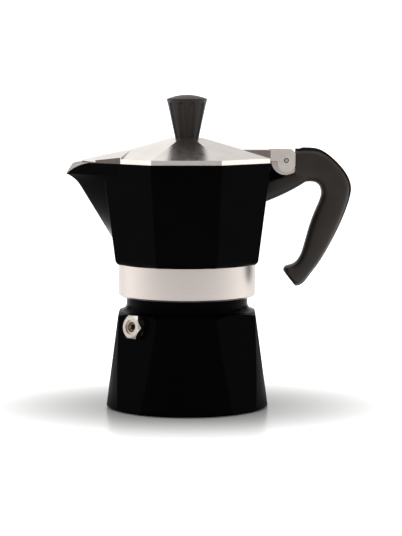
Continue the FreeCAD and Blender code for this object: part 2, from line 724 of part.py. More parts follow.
def beak_crease():
    """Where the beak's near side leaves the lid: a point on the lid's edge and one on the ridge between facets."""
    root = vector(-BEAK_ROOT_X, BEAK_ROOT_X - LID_HALF_FLAT * math.sqrt(2), LID_EDGE_Z + BEAK_ROOT_STEP)
    crown_z = LID_EDGE_Z + lid_slope() * (LID_HALF_FLAT - BEAK_CREASE_X)
    crown = vector(-BEAK_CREASE_X, -BEAK_CREASE_X * math.tan(CORNER), crown_z)
    return root, crown


def beak_prism(outer, inset, low_z):
    """Upright block over the beak's plan, or over the sector that the beak takes from the lid."""
    root, crown = beak_crease()
    points = [vector(p.x, p.y, low_z) for p in both_sides([crown, root] + outer)]
    wire = Part.makePolygon(points + points[:1])
    if inset:
        wire = wire.makeOffset2D(-inset)
    return Part.Face(wire).extrude(vector(0, 0, LID_TOP_Z - low_z))


def beak(inset, drop):
    """Roof over the spout. inset and drop shrink it to the hollow underneath."""
    root, crown = beak_crease()
    fall = vector(0, 0, -drop)
    corner = vector(-BEAK_CORNER_X, -BEAK_CORNER_Y, LID_EDGE_Z - BEAK_CORNER_BELOW_EDGE)
    tip = vector(-BEAK_TIP_X, -BEAK_TIP_Y, 0)
    ridge_z = crown.z - BEAK_RIDGE_FALL * (BEAK_CORNER_X - BEAK_CREASE_X)
    ridge = vector(-BEAK_CORNER_X, 0, ridge_z)
    far_crown = vector(crown.x, -crown.y, crown.z)
    nose_end = vector(-BEAK_TIP_X, 0, ridge_z - NOSE_FALL * (BEAK_TIP_X - BEAK_CORNER_X))
    nose_corner = vector(corner.x, corner.y, LID_Z + NOSE_CORNER_ABOVE_LID)
    block = beak_prism([corner, tip], inset, LID_Z)
    nose_box = Part.makeBox(BEAK_CORNER_X, 2 * LID_HALF_FLAT, 2 * LID_HALF_FLAT)
    nose_box.translate(vector(-2 * BEAK_CORNER_X, -LID_HALF_FLAT, LID_Z - LID_HALF_FLAT))
    roof = block.cut(nose_box).common(under_plane(crown + fall, ridge + fall, far_crown + fall))
    nose = block.common(nose_box)
    for side in (1, -1):
        def flip(point):
            return vector(point.x, side * point.y, point.z) + fall
        roof = roof.common(under_plane(flip(crown), flip(root), flip(corner)))
        nose = nose.common(under_plane(flip(ridge), flip(nose_end), flip(nose_corner)))
    return roof.fuse(nose)


def ear_outline():
    top_z = HINGE_Z + BOSS_TOP_ABOVE_PIN
    round_z = HINGE_Z - EAR_DROP
    left_x = HINGE_X - EAR_HALF_LENGTH
    right_x = HINGE_X + EAR_HALF_LENGTH
    bend = EAR_CORNER * (1 - math.sqrt(0.5))
    return outline(
        (LID_HALF_FLAT - LID_WALL, top_z),
        (right_x - EAR_CORNER, top_z),
        ((right_x - bend, top_z - bend), (right_x, top_z - EAR_CORNER)),
        (right_x, round_z),
        ((HINGE_X, round_z - EAR_HALF_LENGTH), (left_x, round_z)),
        (left_x, HINGE_Z - EAR_GAP),
        (LID_HALF_FLAT - LID_WALL, HINGE_Z - EAR_GAP),
    )


def lid_boss():
    """Wedge that carries the ears, sloped off behind so that the lid swings past the handle."""
    top_z = HINGE_Z + BOSS_TOP_ABOVE_PIN
    back_x = HINGE_X - BARREL_RADIUS - BOSS_TO_BARREL
    start_x = LID_HALF_FLAT - BOSS_RUN
    chamfer_x = LID_HALF_FLAT
    root_z = LID_EDGE_Z + lid_slope() * BOSS_RUN - LID_WALL / 2
    return plate(outline(
        (start_x, top_z),
        (chamfer_x, top_z),
        (back_x, top_z - (back_x - chamfer_x)),
        (back_x, HINGE_Z - EAR_GAP),
        (LID_HALF_FLAT - LID_WALL / 2, HINGE_Z - EAR_GAP),
        (LID_HALF_FLAT - LID_WALL / 2, LID_EDGE_Z - LID_WALL / 2),
        (start_x, root_z),
    ), -BOSS_HALF_WIDTH, BOSS_HALF_WIDTH)


def lid():
    edge = octagon_frustum(LID_HALF_FLAT, LID_Z, LID_HALF_FLAT, LID_EDGE_Z)
    roof = octagon_frustum(LID_HALF_FLAT, LID_EDGE_Z, LID_TOP_HALF_FLAT, LID_TOP_Z)
    under_half = LID_HALF_FLAT - LID_WALL
    hollow = octagon_frustum(
        under_half, LID_EDGE_Z - LID_WALL, LID_TOP_HALF_FLAT - LID_WALL, LID_TOP_Z - LID_TOP_WALL)
    mouth = octagon_frustum(under_half, LID_Z, under_half, LID_EDGE_Z - LID_WALL)
    ears = [plate(ear_outline(), -EAR_OUTER, -EAR_INNER), plate(ear_outline(), EAR_INNER, EAR_OUTER)]
    sector = beak_prism([vector(-2 * LID_HALF_FLAT, -BEAK_ROOT_X, 0)], 0, LID_Z)
    blank = fuse(fuse(edge, roof).cut(sector), beak(0, 0))
    shell = blank.cut(hollow.fuse(mouth).cut(sector)).cut(beak(BEAK_WALL, BEAK_WALL))
    shell = fuse(shell, lid_boss(), *ears)
    pin_hole = cross_pin(HINGE_PIN_RADIUS + HINGE_CLEARANCE, HINGE_X, HINGE_Z, -EAR_OUTER, EAR_OUTER)
    screw_hole = disc(SCREW_RADIUS + SCREW_CLEARANCE, LID_Z, LID_TOP_Z)
    return shell.cut(pin_hole).cut(screw_hole)


def hinge_pin():
    half = EAR_OUTER + HINGE_PIN_PROUD
    return cross_pin(HINGE_PIN_RADIUS, HINGE_X, HINGE_Z, -half, half)


def knob():
    """Tapered grip with hollow flutes under a plain rim and a low crown."""
    top_z = LID_TOP_Z + KNOB_HEIGHT
    rim_z = top_z - KNOB_CROWN
    crown_edge = KNOB_RADIUS - KNOB_EDGE_ROUND
    ball = (crown_edge ** 2 + KNOB_CROWN ** 2) / (2 * KNOB_CROWN)
    crown_mid = (crown_edge / 2, top_z - ball + math.sqrt(ball ** 2 - crown_edge ** 2 / 4))
    bend = KNOB_EDGE_ROUND * (1 - math.sqrt(0.5))
    round_mid = (KNOB_RADIUS - bend, rim_z - bend)
    body = turned(
        (0, LID_TOP_Z),
        (KNOB_FOOT_RADIUS, LID_TOP_Z),
        (KNOB_RADIUS, rim_z - KNOB_EDGE_ROUND),
        (round_mid, (crown_edge, rim_z)),
        (crown_mid, (0, top_z)),
    )
    flute_top = rim_z - KNOB_RIM_HEIGHT - FLUTE_RADIUS
    taper = (KNOB_RADIUS - KNOB_FOOT_RADIUS) / (rim_z - KNOB_EDGE_ROUND - LID_TOP_Z)
    foot_reach = KNOB_FOOT_RADIUS + FLUTE_RADIUS - FLUTE_DEPTH
    low = vector(foot_reach - taper * FLUTE_RADIUS, 0, LID_TOP_Z - FLUTE_RADIUS)
    high = vector(foot_reach + taper * (flute_top - LID_TOP_Z), 0, flute_top)
    run = high - low
    flute = Part.makeCylinder(FLUTE_RADIUS, run.Length, low, run).fuse(Part.makeSphere(FLUTE_RADIUS, high))
    for k in range(KNOB_FLUTES):
        cutter = flute.copy()
        cutter.rotate(ORIGIN, UP, 360 * k / KNOB_FLUTES)
        body = body.cut(cutter)
    return body.cut(disc(INSERT_RADIUS, LID_TOP_Z, LID_TOP_Z + INSERT_LENGTH))


def knob_insert():
    return ring(INSERT_RADIUS, SCREW_RADIUS + SCREW_CLEARANCE / 2, LID_TOP_Z, LID_TOP_Z + INSERT_LENGTH)


def knob_washer():
    under_z = LID_TOP_Z - LID_TOP_WALL
    return ring(WASHER_RADIUS, SCREW_RADIUS + SCREW_CLEARANCE, under_z - WASHER_THICKNESS, under_z)


def knob_screw():
    head_z = LID_TOP_Z - LID_TOP_WALL - WASHER_THICKNESS
    head = disc(SCREW_HEAD_RADIUS, head_z - SCREW_HEAD_HEIGHT, head_z)
    slot = Part.makeBox(2 * SCREW_HEAD_RADIUS, SCREW_SLOT_WIDTH, SCREW_SLOT_DEPTH)
    slot.translate(vector(-SCREW_HEAD_RADIUS, -SCREW_SLOT_WIDTH / 2, head_z - SCREW_HEAD_HEIGHT))
    shank = disc(SCREW_RADIUS, head_z, LID_TOP_Z + INSERT_LENGTH - SCREW_END_GAP)
    return fuse(head.cut(slot), shank)


def rounded_section(inner, outer, half_width):
    """Smooth closed section between two points of the side view, given from the hinge pin."""
    pin = vector(HINGE_X, 0, HINGE_Z)
    low = pin + vector(inner[0], 0, inner[1])
    high = pin + vector(outer[0], 0, outer[1])
    halves = []
    for side in (1, -1):
        points = []
        for k in range(HANDLE_SECTION_POINTS + 1):
            turn = math.pi * k / HANDLE_SECTION_POINTS
            along = side * math.copysign(abs(math.cos(turn)) ** HANDLE_SQUARENESS, math.cos(turn))
            across = side * half_width * abs(math.sin(turn)) ** HANDLE_SQUARENESS
            points.append((low + high) / 2 + (high - low) * along / 2 + vector(0, across, 0))
        curve = Part.BSplineCurve()
        curve.interpolate(points, InitialTangent=vector(0, side, 0), FinalTangent=vector(0, -side, 0))
        halves.append(curve.toShape())
    return Part.Wire(halves)


def handle_stations():
    """Sections along smooth curves through the listed points, closer together than the list."""
    guides = []
    for side in (0, 1):
        guide = Part.BSplineCurve()
        guide.interpolate([vector(section[side][0], 0, section[side][1]) for section in HANDLE_SECTIONS])
        guides.append((guide, guide.getKnots()))
    stations = []
    for k in range((len(HANDLE_SECTIONS) - 1) * HANDLE_STATIONS_PER_SPAN + 1):
        span = min(k // HANDLE_STATIONS_PER_SPAN, len(HANDLE_SECTIONS) - 2)
        share = k / HANDLE_STATIONS_PER_SPAN - span
        points = [guide.value(knots[span] + share * (knots[span + 1] - knots[span])) for guide, knots in guides]
        width = HANDLE_SECTIONS[span][2] * (1 - share) + HANDLE_SECTIONS[span + 1][2] * share
        stations.append(((points[0].x, points[0].z), (points[1].x, points[1].z), width))
    return stations


def strut_sections():
    """Strut from inside the collector's facet to inside the arm."""
    top_x = collector_half_flat(HINGE_Z - STRUT_TOP_BELOW_PIN) - STRUT_SINK - HINGE_X
    foot_x = top_x - COLLECTOR_TAPER * STRUT_FOOT_DEPTH
    top_z = strut_top(HINGE_X + top_x) - HINGE_Z
    mid_z = strut_top(HINGE_X) - HINGE_Z
    end_z = strut_top(HINGE_X + STRUT_REACH) - HINGE_Z
    near = ((foot_x, top_z - STRUT_FOOT_DEPTH), (top_x, top_z))
    mid = ((0, mid_z - STRUT_DEPTH), (0, mid_z))
    end = ((STRUT_REACH, end_z - STRUT_END_DEPTH), (STRUT_REACH, end_z))
    return [rounded_section(low, high, STRUT_HALF_WIDTH) for low, high in (near, mid, end)]


def handle():
    """Arm, grip and turned-in foot in one sweep of rounded sections, with a slotted strut down to the pot."""
    grip = Part.makeLoft([rounded_section(*station) for station in handle_stations()], True, False)
    strut = Part.makeLoft(strut_sections(), True, False)
    pot_side = octagon_frustum(
        FOOT_HALF_FLAT + HANDLE_CLEARANCE, COLLECTOR_FOOT_Z, RIM_HALF_FLAT + HANDLE_CLEARANCE, RIM_Z)
    slot = plate(tongue_outline().makeOffset2D(HANDLE_CLEARANCE),
                 -TONGUE_HALF_WIDTH - HANDLE_CLEARANCE, TONGUE_HALF_WIDTH + HANDLE_CLEARANCE)
    return fuse(grip, strut).cut(pot_side).cut(slot).cut(handle_pin())


def handle_pin():
    """Drive pin through the far cheek and the tongue, stopped short of the near face."""
    x = HINGE_X - HANDLE_PIN_BACK
    z = strut_top(x) - HANDLE_PIN_BELOW_STRUT_TOP
    return cross_pin(HANDLE_PIN_RADIUS, x, z, -STRUT_HALF_WIDTH + HANDLE_PIN_INSET, STRUT_HALF_WIDTH)


NODES = (
    boiler, valve_body, valve_washer, valve_bush, valve_stem, valve_seal, valve_spring,
    basket_cup, basket_sieve, basket_tube, gasket, filter_plate,
    collector, riser_column, handle, handle_pin,
    lid, hinge_pin, knob, knob_insert, knob_screw, knob_washer,
)

os.makedirs("parts", exist_ok=True)
for make in NODES:
    make().exportStep("parts/" + make.__name__ + ".step")
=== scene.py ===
"""Looks of a stove-top moka pot: finishes, fine pieces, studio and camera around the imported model."""
import logging
import math
from dataclasses import dataclass
from enum import Enum

import bpy
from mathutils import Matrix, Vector


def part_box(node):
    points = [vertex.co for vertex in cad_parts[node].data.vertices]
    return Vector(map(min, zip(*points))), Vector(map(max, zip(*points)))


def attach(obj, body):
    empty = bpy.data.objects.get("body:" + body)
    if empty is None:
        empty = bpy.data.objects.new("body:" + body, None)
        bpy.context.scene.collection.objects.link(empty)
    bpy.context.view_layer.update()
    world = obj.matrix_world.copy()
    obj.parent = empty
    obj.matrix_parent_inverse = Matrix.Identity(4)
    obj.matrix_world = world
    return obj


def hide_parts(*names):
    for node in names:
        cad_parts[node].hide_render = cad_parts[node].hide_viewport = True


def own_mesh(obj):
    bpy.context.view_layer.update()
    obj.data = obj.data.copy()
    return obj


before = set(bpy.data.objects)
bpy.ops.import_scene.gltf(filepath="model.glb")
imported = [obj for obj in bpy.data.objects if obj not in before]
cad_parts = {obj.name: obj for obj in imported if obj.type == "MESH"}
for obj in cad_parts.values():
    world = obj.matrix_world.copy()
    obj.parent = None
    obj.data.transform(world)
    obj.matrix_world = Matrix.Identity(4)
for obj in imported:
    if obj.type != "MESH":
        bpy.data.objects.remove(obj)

log = logging.getLogger("moka_pot")

MM = 0.001
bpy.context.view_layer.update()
# Broad unevenness of a casting or a moulding, as the size of one patch along X, Y and Z.
CLOUD_MM = (14.0, 14.0, 9.0)
# How many finer sizes ride on a pattern.
FINE, BROAD, SMOOTH = 3.0, 2.0, 1.0
# Nearly all of a noise lies between these two.
NOISE_LOW, NOISE_HIGH = 0.3, 0.7
# Sockets of a Mix node for colours. Their names are also those of its sockets for numbers.
SHARE, FIRST, SECOND, MIXED = 0, 6, 7, 2


class Lay(Enum):
    """How the fine marks of a metal run, as the size of one mark along X, Y and Z in millimetres.

    Real casting grain, turning lines and buffing marks are finer. They are drawn as coarse as they need
    to be to show.
    """

    CAST = (2.2, 2.2, 2.2)
    TURNED = (400.0, 400.0, 0.35)
    DRAWN = (0.5, 0.5, 24.0)
    POLISHED = (1.4, 1.4, 0.6)


def linear(hex_colour: str) -> tuple[float, float, float, float]:
    """Turns an sRGB hex colour to linear light.

    Args:
        hex_colour: six hex digits after a hash sign.

    Returns:
        Linear red, green and blue with an alpha of one.
    """
    channels = []
    for k in (1, 3, 5):
        value = int(hex_colour[k:k + 2], 16) / 255
        channels.append(value / 12.92 if value <= 0.04045 else ((value + 0.055) / 1.055) ** 2.4)
    return (channels[0], channels[1], channels[2], 1.0)


def add(tree: bpy.types.NodeTree, kind: str, inputs: dict[int | str, object] | None = None,
        **settings: object) -> bpy.types.Node:
    """Adds one shader node with its settings and links.

    Args:
        tree: node tree that takes the node.
        kind: the node's type name.
        inputs: sockets by name or number, each with a value or an output socket to link.
        settings: attributes to set on the node.

    Returns:
        The new node.
    """
    made = tree.nodes.new(kind)
    for name, value in settings.items():
        setattr(made, name, value)
    for key, value in (inputs or {}).items():
        if isinstance(value, bpy.types.NodeSocket):
            tree.links.new(value, made.inputs[key])
        else:
            made.inputs[key].default_value = value
    return made


@dataclass(frozen=True)
class Finish:
    """A finish, named for the real material."""

    name: str

    def material(self) -> bpy.types.Material:
        """Gives the finish's material, made the first time."""
        return bpy.data.materials.get(self.name) or self.make()

    def make(self) -> bpy.types.Material:
        """Makes the material."""
        raise NotImplementedError

    def start(self) -> tuple[bpy.types.Material, bpy.types.NodeTree, bpy.types.Node]:
        """Starts the material.

        Returns:
            The material, its tree and its principled shader.
        """
        material = bpy.data.materials.new(self.name)
        material.use_nodes = True
        return material, material.node_tree, material.node_tree.nodes["Principled BSDF"]

    def marks(self, tree: bpy.types.NodeTree, size_mm: tuple[float, float, float],
              detail: float) -> bpy.types.NodeSocket:
        """Lays uneven marks of a real size through the piece.

        Args:
            tree: node tree that takes the nodes.
            size_mm: size of one mark along X, Y and Z.
            detail: how many finer sizes ride on it.

        Returns:
            Socket of a number about 0.5.
        """
        place = add(tree, "ShaderNodeTexCoord").outputs["Object"]
        scale = tuple(1 / (size * MM) for size in size_mm)
        mapped = add(tree, "ShaderNodeMapping", {"Vector": place, "Scale": scale}).outputs[0]
        return add(tree, "ShaderNodeTexNoise", {"Vector": mapped, "Scale": 1.0, "Detail": detail}).outputs[0]


@dataclass(frozen=True)
class Metal(Finish):
    """A bare metal. Casting skin or tool marks vary its tone and gloss."""

    light: str
    dark: str
    roughness: tuple[float, float]
    lay: Lay
    relief_mm: float = 0.006
    relief_strength: float = 0.15
    tone_span: tuple[float, float] = (0.7, 1.3)

    def make(self) -> bpy.types.Material:
        """Makes the material.

        Returns:
            The new material.
        """
        material, tree, shader = self.start()
        marks = self.marks(tree, self.lay.value, FINE)
        cloud = self.marks(tree, CLOUD_MM, BROAD)
        tone = add(tree, "ShaderNodeMath", {0: marks, 1: cloud}, operation="ADD").outputs[0]
        low, high = self.tone_span
        share = add(tree, "ShaderNodeMapRange", {"Value": tone, "From Min": low, "From Max": high}).outputs[0]
        colours = {SHARE: share, FIRST: linear(self.dark), SECOND: linear(self.light)}
        colour = add(tree, "ShaderNodeMix", colours, data_type="RGBA").outputs[MIXED]
        smooth, rough = self.roughness
        gloss = {"Value": marks, "From Min": NOISE_LOW, "From Max": NOISE_HIGH,
                 "To Min": smooth, "To Max": rough}
        relief = {"Height": marks, "Distance": self.relief_mm * MM, "Strength": self.relief_strength}
        tree.links.new(self.shaded(tree, colour), shader.inputs["Base Color"])
        tree.links.new(add(tree, "ShaderNodeMapRange", gloss).outputs[0], shader.inputs["Roughness"])
        tree.links.new(add(tree, "ShaderNodeBump", relief).outputs[0], shader.inputs["Normal"])
        shader.inputs["Metallic"].default_value = 1.0
        return material

    def shaded(self, tree: bpy.types.NodeTree, colour: bpy.types.NodeSocket) -> bpy.types.NodeSocket:
        """Gives the colour as it is; a finish with painted dark reflections changes it in places.

        Args:
            tree: node tree that takes the nodes.
            colour: socket of the metal's colour.

        Returns:
            Socket of the colour that shows.
        """
        return colour


@dataclass(frozen=True)
class LidCasting(Metal):
    """Satin casting whose upright beak skirts and hinge flange are greyed with a painted dark reflection."""

    # Greys painted on the upright faces of the beak and of the hinge flange: painted dark reflections.
    beak_painted_reflection: str = "#59534E"
    flange_painted_reflection: str = "#8C837C"
    upright_limit: float = 0.35
    beak_end: float = 0.0
    flange_start: float = 0.0
    flange_end: float = 0.0
    flange_half_width: float = 0.0

    def shaded(self, tree: bpy.types.NodeTree, colour: bpy.types.NodeSocket) -> bpy.types.NodeSocket:
        """Darkens the upright faces of the beak and of the hinge flange with a painted dark reflection.

        Args:
            tree: node tree that takes the nodes.
            colour: socket of the metal's colour.

        Returns:
            Socket of the colour that shows.
        """
        coords = add(tree, "ShaderNodeTexCoord")
        place = add(tree, "ShaderNodeSeparateXYZ", {0: coords.outputs["Object"]}).outputs
        face = add(tree, "ShaderNodeSeparateXYZ", {0: coords.outputs["Normal"]}).outputs
        lean = add(tree, "ShaderNodeMath", {0: face["Z"]}, operation="ABSOLUTE").outputs[0]
        upright = add(tree, "ShaderNodeMath", {0: lean, 1: self.upright_limit}, operation="LESS_THAN").outputs[0]
        ahead = add(tree, "ShaderNodeMath", {0: place["X"], 1: self.beak_end}, operation="LESS_THAN").outputs[0]
        middle = (self.flange_start + self.flange_end) / 2
        reach = (self.flange_end - self.flange_start) / 2
        along = add(tree, "ShaderNodeMath", {0: place["X"], 1: middle, 2: reach}, operation="COMPARE").outputs[0]
        by_middle = {0: place["Y"], 1: 0.0, 2: self.flange_half_width}
        across = add(tree, "ShaderNodeMath", by_middle, operation="COMPARE").outputs[0]
        behind = add(tree, "ShaderNodeMath", {0: along, 1: across}, operation="MULTIPLY").outputs[0]
        # Mixes the painted dark reflections into the upright faces ahead of the beak's end and by the hinge
        # flange.
        for where, surface in ((ahead, self.beak_painted_reflection), (behind, self.flange_painted_reflection)):
            painted_reflection_share = add(tree, "ShaderNodeMath", {0: where, 1: upright}, operation="MULTIPLY").outputs[0]
            colours = {SHARE: painted_reflection_share, FIRST: colour, SECOND: linear(surface)}
            colour = add(tree, "ShaderNodeMix", colours, data_type="RGBA").outputs[MIXED]
        return colour


@dataclass(frozen=True)
class Moulding(Finish):
    """A moulded plastic or rubber: a satin skin, a little uneven in tone and gloss."""

    light: str
    dark: str
    roughness: tuple[float, float]
    skin_mm: float
    relief_mm: float
    ior: float
    specular: float = 0.5
    relief_strength: float = 0.3

    def make(self) -> bpy.types.Material:
        """Makes the material.

        Returns:
            The new material.
        """
        material, tree, shader = self.start()
        surface = self.marks(tree, (self.skin_mm,) * 3, FINE)
        cloud = self.marks(tree, CLOUD_MM, BROAD)
        span = {"Value": cloud, "From Min": NOISE_LOW, "From Max": NOISE_HIGH}
        share = add(tree, "ShaderNodeMapRange", span).outputs[0]
        colours = {SHARE: share, FIRST: linear(self.dark), SECOND: linear(self.light)}
        smooth, rough = self.roughness
        gloss = span | {"To Min": smooth, "To Max": rough}
        relief = {"Height": surface, "Distance": self.relief_mm * MM, "Strength": self.relief_strength}
        colour = add(tree, "ShaderNodeMix", colours, data_type="RGBA").outputs[MIXED]
        tree.links.new(colour, shader.inputs["Base Color"])
        tree.links.new(add(tree, "ShaderNodeMapRange", gloss).outputs[0], shader.inputs["Roughness"])
        tree.links.new(add(tree, "ShaderNodeBump", relief).outputs[0], shader.inputs["Normal"])
        shader.inputs["IOR"].default_value = self.ior
        shader.inputs["Specular IOR Level"].default_value = self.specular
        return material


@dataclass(frozen=True)
class EnamelledCasting(Finish):
    """Gloss paint on the outside of a casting, with bare turned metal where no paint lies."""

    low: float
    high: float
    level_limit: float
    hinge: tuple[float, float] = (0.0, 0.0)
    hinge_bare: float = 0.0
    outward_limit: float = 0.5 * MM
    paint: str = "#030202"
    paint_worn: str = "#050404"
    paint_roughness: float = 0.2
    paint_specular: float = 0.01
    metal_light: str = "#CFC7C2"
    metal_dark: str = "#BAB2AD"
    metal_roughness: tuple[float, float] = (0.3, 0.4)
    ripple_mm: float = 2.4
    relief_mm: float = 0.004
    relief_strength: float = 0.15

    def painted(self, tree: bpy.types.NodeTree) -> bpy.types.NodeSocket:
        """Finds the paint: faces that look outwards between two heights, not level ones, not by the hinge.

        Args:
            tree: node tree that takes the nodes.

        Returns:
            Socket that is 1 on paint and 0 on bare metal.
        """
        coords = add(tree, "ShaderNodeTexCoord")
        place = add(tree, "ShaderNodeSeparateXYZ", {0: coords.outputs["Object"]}).outputs
        face = add(tree, "ShaderNodeSeparateXYZ", {0: coords.outputs["Normal"]}).outputs
        across = add(tree, "ShaderNodeMath", {0: place["Y"], 1: face["Y"]}, operation="MULTIPLY").outputs[0]
        radial = {0: place["X"], 1: face["X"], 2: across}
        outward = add(tree, "ShaderNodeMath", radial, operation="MULTIPLY_ADD").outputs[0]
        side_view = add(tree, "ShaderNodeCombineXYZ", {"X": place["X"], "Z": place["Z"]}).outputs[0]
        two_points = {0: side_view, 1: (self.hinge[0], 0.0, self.hinge[1])}
        from_hinge = add(tree, "ShaderNodeVectorMath", two_points, operation="DISTANCE").outputs["Value"]
        tests = (
            (outward, "GREATER_THAN", self.outward_limit),
            (place["Z"], "GREATER_THAN", self.low),
            (place["Z"], "LESS_THAN", self.high),
            (face["Z"], "LESS_THAN", self.level_limit),
            (from_hinge, "GREATER_THAN", self.hinge_bare),
        )
        results = [add(tree, "ShaderNodeMath", {0: value, 1: limit}, operation=test).outputs[0]
                   for value, test, limit in tests]
        mask = results[0]
        for result in results[1:]:
            mask = add(tree, "ShaderNodeMath", {0: mask, 1: result}, operation="MULTIPLY").outputs[0]
        return mask

    def make(self) -> bpy.types.Material:
        """Makes the material.

        Returns:
            The new material.
        """
        material, tree, shader = self.start()
        mask = self.painted(tree)
        bare = add(tree, "ShaderNodeMath", {0: 1.0, 1: mask}, operation="SUBTRACT").outputs[0]
        turning = self.marks(tree, Lay.TURNED.value, FINE)
        wear = self.marks(tree, CLOUD_MM, BROAD)
        ripple = self.marks(tree, (self.ripple_mm,) * 3, SMOOTH)
        paints = {SHARE: wear, FIRST: linear(self.paint), SECOND: linear(self.paint_worn)}
        paint = add(tree, "ShaderNodeMix", paints, data_type="RGBA").outputs[MIXED]
        metals = {SHARE: turning, FIRST: linear(self.metal_dark), SECOND: linear(self.metal_light)}
        metal = add(tree, "ShaderNodeMix", metals, data_type="RGBA").outputs[MIXED]
        colours = {SHARE: mask, FIRST: metal, SECOND: paint}
        smooth, rough = self.metal_roughness
        gloss = {"Value": turning, "From Min": NOISE_LOW, "From Max": NOISE_HIGH,
                 "To Min": smooth, "To Max": rough}
        metal_gloss = add(tree, "ShaderNodeMapRange", gloss).outputs[0]
        glosses = {"Factor": mask, "A": metal_gloss, "B": self.paint_roughness}
        lines = add(tree, "ShaderNodeMath", {0: turning, 1: bare}, operation="MULTIPLY").outputs[0]
        waves = add(tree, "ShaderNodeMath", {0: ripple, 1: mask}, operation="MULTIPLY").outputs[0]
        height = add(tree, "ShaderNodeMath", {0: waves, 1: lines}, operation="ADD").outputs[0]
        relief = {"Height": height, "Distance": self.relief_mm * MM, "Strength": self.relief_strength}
        colour = add(tree, "ShaderNodeMix", colours, data_type="RGBA").outputs[MIXED]
        tree.links.new(colour, shader.inputs["Base Color"])
        tree.links.new(bare, shader.inputs["Metallic"])
        tree.links.new(add(tree, "ShaderNodeMix", glosses).outputs[0], shader.inputs["Roughness"])
        tree.links.new(add(tree, "ShaderNodeBump", relief).outputs[0], shader.inputs["Normal"])
        shader.inputs["Specular IOR Level"].default_value = self.paint_specular
        return material


@dataclass(frozen=True)
class FloorFinish(Finish):
    """White table: a faint gloss, and a glow that rises away from the pot and fades into the backdrop, but not
    in front; the dim oval round the pot is a painted soft shadow.
    """

    light: str = "#B6B5B4"
    dark: str = "#B2B1B0"
    roughness: float = 0.3
    cloud_mm: float = 300.0
    # No glow inside glow_from and full glow beyond glow_to: the dim oval between them is a painted shadow round
    # the pot.
    glow_from: float = 0.035
    glow_to: float = 0.16
    glow: float = 0.95
    stretch: tuple[float, float, float] = (0.95, 1.2, 1.0)
    front_edge: float = -0.3
    front_fade: float = 0.25

    def make(self) -> bpy.types.Material:
        """Makes the material.

        Returns:
            The new material.
        """
        material, tree, shader = self.start()
        cloud = self.marks(tree, (self.cloud_mm,) * 3, SMOOTH)
        colours = {SHARE: cloud, FIRST: linear(self.dark), SECOND: linear(self.light)}
        place = add(tree, "ShaderNodeTexCoord").outputs["Object"]
        # Glow by distance from the pot on an oval, which paints a soft shadow round the pot.
        oval = add(tree, "ShaderNodeMapping", {"Vector": place, "Scale": self.stretch}).outputs[0]
        reach = add(tree, "ShaderNodeVectorMath", {0: oval}, operation="LENGTH").outputs["Value"]
        outwards = {"Value": reach, "From Min": self.glow_from, "From Max": self.glow_to, "To Max": self.glow}
        rise = add(tree, "ShaderNodeMapRange", outwards, interpolation_type="SMOOTHSTEP").outputs[0]
        depth = add(tree, "ShaderNodeSeparateXYZ", {0: place}).outputs["Y"]
        fading = {"Value": depth, "From Min": self.front_edge - self.front_fade, "From Max": self.front_edge}
        fade = add(tree, "ShaderNodeMapRange", fading, interpolation_type="SMOOTHSTEP").outputs[0]
        shine = add(tree, "ShaderNodeMath", {0: rise, 1: fade}, operation="MULTIPLY").outputs[0]
        colour = add(tree, "ShaderNodeMix", colours, data_type="RGBA").outputs[MIXED]
        tree.links.new(colour, shader.inputs["Base Color"])
        tree.links.new(shine, shader.inputs["Emission Strength"])
        shader.inputs["Emission Color"].default_value = (1.0, 1.0, 1.0, 1.0)
        shader.inputs["Roughness"].default_value = self.roughness
        return material


# Tumbled after casting: wide soft highlights, a faint grey mottle and a slightly warm tone.
CAST_ALUMINIUM = Metal("satin die-cast aluminium", "#E4DCD6", "#D8CFC9", (0.18, 0.24), Lay.CAST)
# Pressed from sheet: fine upright lines that smear highlights sideways.
SHEET_ALUMINIUM = Metal("drawn aluminium sheet", "#D6D6D4", "#BEBEBC", (0.22, 0.34), Lay.DRAWN)
# Plated and buffed: small sharp highlights on the flats of the hexagon.
PLATED_BRASS = Metal("nickel-plated brass", "#CBC3BC", "#ADA59E", (0.16, 0.26), Lay.POLISHED)
# Turned and left to dull: brown yellow, with a broken gloss.
DULL_BRASS = Metal("dulled turned brass", "#6A5C4A", "#4E4336", (0.26, 0.4), Lay.POLISHED)
# Drawn wire and ground pins: cool grey with a hard shine.
BRIGHT_STEEL = Metal("bright steel", "#C4C0BC", "#A5A19D", (0.16, 0.28), Lay.POLISHED)
# Soft and pale, with almost no shine.
SEAL_RUBBER = Moulding("pale silicone rubber", "#DDD9CE", "#C9C4B6", (0.5, 0.62), 0.5, 0.02, 1.41)
# Pressed hot in a polished mould: dark brown black, a satin sheen that softens towards the edges.
PHENOLIC = Moulding("dark phenolic moulding", "#27211C", "#1E1915", (0.36, 0.48), 0.35, 0.012, 1.58,
                    specular=0.22)
# White floor that glows more further from the pot: the dim oval round the pot is a painted soft shadow.
GLOWING_FLOOR = FloorFinish("white acrylic floor")


@dataclass
class SubAssembly:
    """Pieces that are put together as one unit on the maker's bench."""

    def build(self) -> None:
        """Makes the unit's own meshes; most units have none."""

    def dress(self) -> None:
        """Puts the finishes on."""
        for piece, finish in self.finishes().items():
            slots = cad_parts[piece].data.materials
            slots.clear()
            slots.append(finish.material())
            log.info("%s: %s in %s", type(self).__name__, piece, finish.name)

    def finishes(self) -> dict[str, Finish]:
        """Names the finish of each CAD piece."""
        raise NotImplementedError


@dataclass
class Boiler(SubAssembly):
    """Enamelled boiler: paint from just above the foot to the neck, bare inside and on the thread."""

    paint_low_mm: float = 0.4
    paint_high_mm: float = 57.2
    # More than any slope, so that paint lies on level faces too.
    level_limit: float = 2.0

    def finishes(self) -> dict[str, Finish]:
        """Names the finish of each CAD piece.

        Returns:
            Finishes by node.
        """
        # Glossy black that shows soft reflections only at its edges.
        enamel = EnamelledCasting("black enamel on cast boiler", low=self.paint_low_mm * MM,
                                  high=self.paint_high_mm * MM, level_limit=self.level_limit)
        return {"boiler": enamel}


